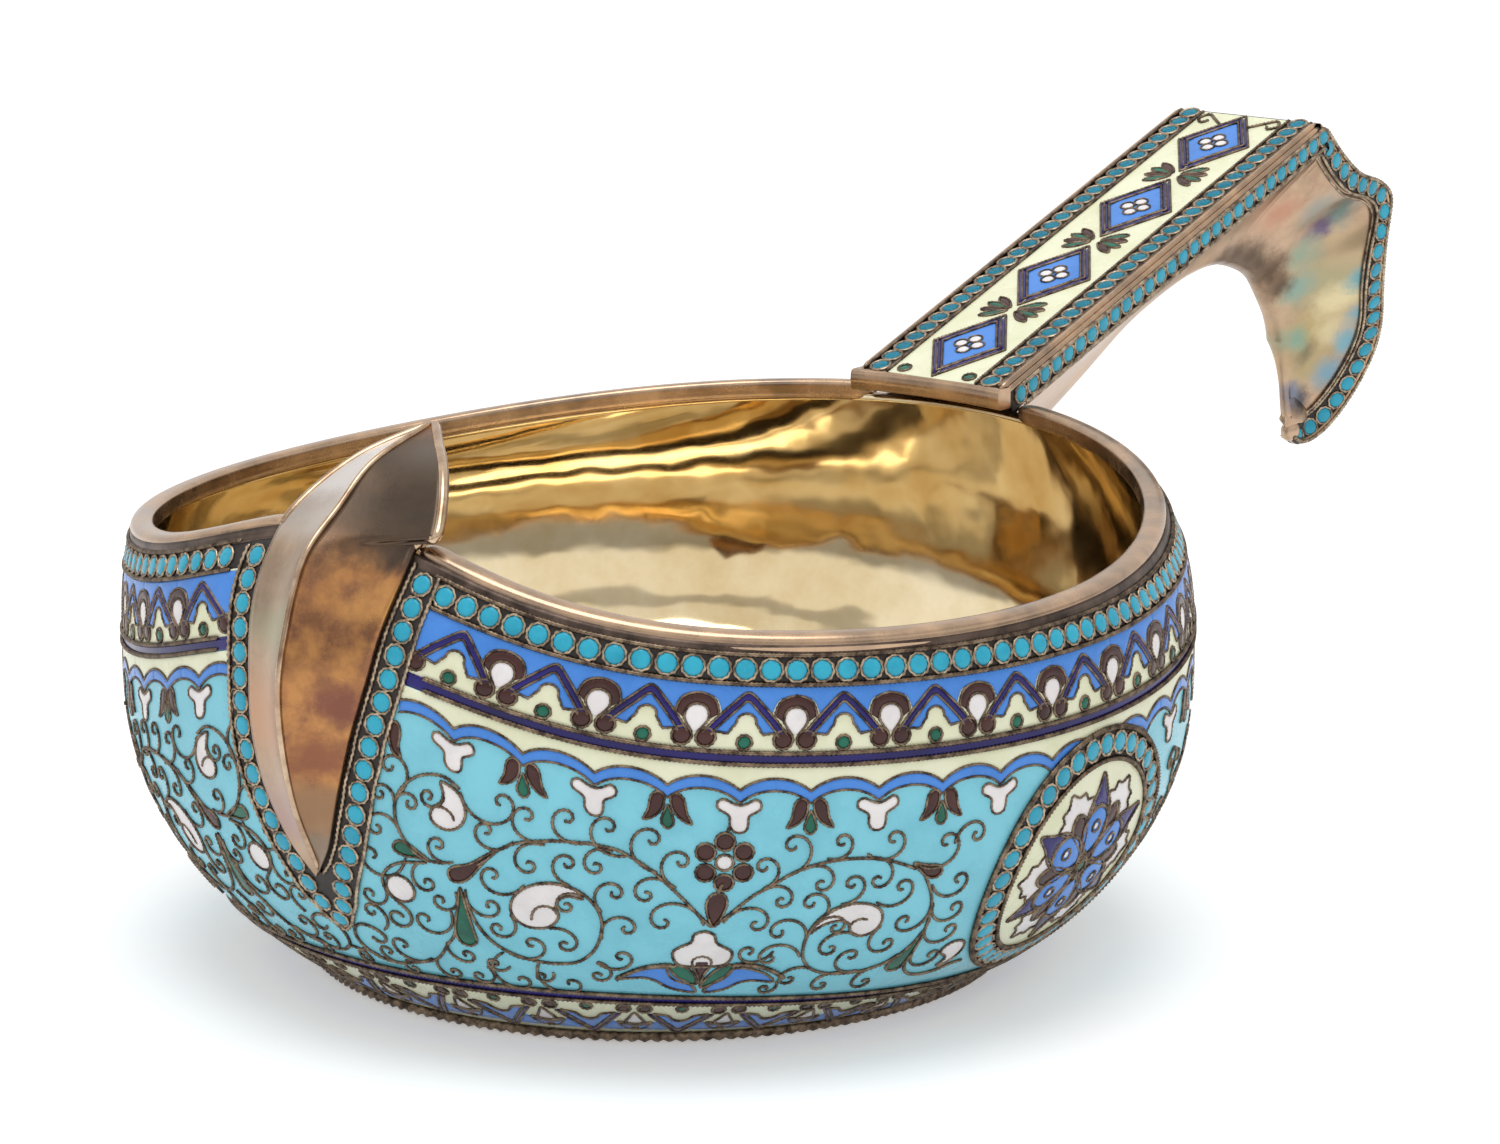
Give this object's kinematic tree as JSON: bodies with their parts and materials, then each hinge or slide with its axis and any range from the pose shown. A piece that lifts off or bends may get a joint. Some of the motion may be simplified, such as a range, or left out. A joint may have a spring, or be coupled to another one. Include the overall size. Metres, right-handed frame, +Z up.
{
  "type": "enamelled silver-gilt kovsh",
  "caption": "Broad silver-gilt drinking scoop with a pointed hollow prow, a raised hook-shaped handle, bands and scroll fields of filigree enamel, and two round medallions.",
  "frame": {"origin": "centre of the flat underside of the bowl, on the surface that it stands on", "axes": "+Z up out of the bowl, +X from the prow towards the handle, Y across, with the bowl mirrored in the XZ plane"},
  "size_m": [0.1687, 0.1016, 0.066],
  "materials": {
    "silver_gilt": "old gilding on silver, polished inside and patinated brown outside",
    "pale_gilt": "worn gilding on a rubbed silver moulding",
    "dark_silver_wire": "twisted filigree wire, oxidised dark with rubbed gilt tops",
    "turquoise_bead_enamel": "opaque enamel dots in wire rings on a dark ground",
    "light_turquoise_enamel": "opaque light turquoise enamel with wire scrolls",
    "cobalt_enamel": "deep cobalt enamel, glossy",
    "blue_enamel": "opaque cornflower blue enamel with brown, white and green cells",
    "cream_enamel": "opaque cream enamel"
  },
  "bodies": {
    "root": {"bead_row_wire": "dark_silver_wire", "bowl_shell": "silver_gilt", "chevron_band": "blue_enamel", "foot_wire": "dark_silver_wire", "front_scallop_strip_left": "cream_enamel", "front_scallop_strip_right": "cream_enamel", "front_scroll_field": "light_turquoise_enamel", "handle_edge_moulding_left": "pale_gilt", "handle_edge_moulding_right": "pale_gilt", "handle_end_strip": "silver_gilt", "handle_front_strip": "pale_gilt", "handle_side_beads_left": "turquoise_bead_enamel", "handle_side_beads_right": "turquoise_bead_enamel", "handle_side_plate_left": "silver_gilt", "handle_side_plate_right": "silver_gilt", "handle_top_beads_left": "turquoise_bead_enamel", "handle_top_beads_right": "turquoise_bead_enamel", "handle_top_enamel": "cream_enamel", "handle_top_plate": "silver_gilt", "handle_under_strip": "silver_gilt", "lower_border_band": "blue_enamel", "lower_cobalt_line": "cobalt_enamel", "lower_line_low_wire": "dark_silver_wire", "lower_line_top_wire": "dark_silver_wire", "medallion_frame_left": "turquoise_bead_enamel", "medallion_frame_right": "turquoise_bead_enamel", "medallion_inner_wire_left": "dark_silver_wire", "medallion_inner_wire_right": "dark_silver_wire", "medallion_left": "cream_enamel", "medallion_outer_wire_left": "dark_silver_wire", "medallion_outer_wire_right": "dark_silver_wire", "medallion_right": "cream_enamel", "prow_back_plate": "silver_gilt", "prow_bead_border_left": "turquoise_bead_enamel", "prow_bead_border_right": "turquoise_bead_enamel", "prow_border_inner_wire_left": "dark_silver_wire", "prow_border_inner_wire_right": "dark_silver_wire", "prow_border_outer_wire_left": "dark_silver_wire", "prow_border_outer_wire_right": "dark_silver_wire", "prow_face_left": "silver_gilt", "prow_face_right": "silver_gilt", "rear_scallop_strip": "cream_enamel", "rear_scroll_field": "light_turquoise_enamel", "rim_bead_band": "turquoise_bead_enamel", "rim_groove_wire": "dark_silver_wire", "rim_moulding_left": "pale_gilt", "rim_moulding_right": "pale_gilt", "upper_cobalt_line": "cobalt_enamel", "upper_line_low_wire": "dark_silver_wire", "upper_line_top_wire": "dark_silver_wire"}
  },
  "joints": []
}
